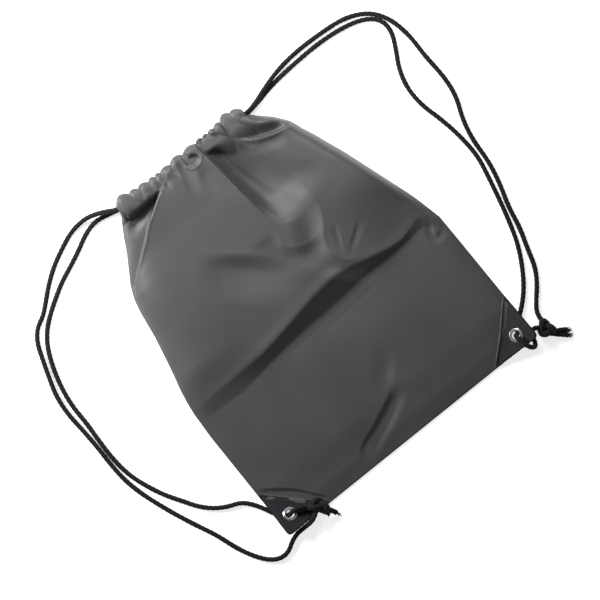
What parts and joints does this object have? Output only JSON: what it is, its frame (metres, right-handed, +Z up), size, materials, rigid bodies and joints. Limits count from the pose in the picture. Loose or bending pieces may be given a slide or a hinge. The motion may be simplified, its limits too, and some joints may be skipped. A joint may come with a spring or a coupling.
{
  "type": "drawstring shoe bag",
  "caption": "Flat drawstring bag of thin cloth with a gathered mouth, corner patches with eyelets, and drawcords that double as straps.",
  "frame": {"origin": "centre of the bag's footprint, on the surface that its back panel lies on, measured without the free cords and knots", "axes": "+X across the bag, +Y from the sewn bottom edge to the gathered mouth, +Z up from the back panel to the front panel"},
  "size_m": [0.5436, 0.4268, 0.026],
  "materials": {
    "bag_cloth": "coated plain weave, soft sheen",
    "patch_sheet": "black coated sheet, fine grain",
    "eyelet_metal": "bright nickel",
    "drawcord": "twisted cord, matt",
    "thread": "polyester thread"
  },
  "bodies": {
    "bag": {"back_panel": "bag_cloth", "front_panel": "bag_cloth", "back_hem": "bag_cloth", "front_hem": "bag_cloth", "left_corner_patch_back": "patch_sheet", "left_corner_patch_front": "patch_sheet", "right_corner_patch_back": "patch_sheet", "right_corner_patch_front": "patch_sheet", "left_eyelet": "eyelet_metal", "left_eyelet_washer": "eyelet_metal", "right_eyelet": "eyelet_metal", "right_eyelet_washer": "eyelet_metal", "left_cord": "drawcord", "right_cord": "drawcord", "left_knot": "drawcord", "right_knot": "drawcord", "left_patch_stitching": "thread", "right_patch_stitching": "thread", "front_hem_stitching": "thread", "back_hem_stitching": "thread"},
    "mouth_end": {"back_hem_end": "bag_cloth", "front_hem_end": "bag_cloth"}
  },
  "joints": [
    {"name": "mouth_draw", "type": "slide", "parent": "bag", "child": "mouth_end", "axis": [1, 0, 0], "range_m": [0, 0.08], "deforming": ["front_panel", "back_panel", "front_hem", "back_hem", "front_hem_stitching", "back_hem_stitching", "left_cord", "right_cord"]}
  ]
}
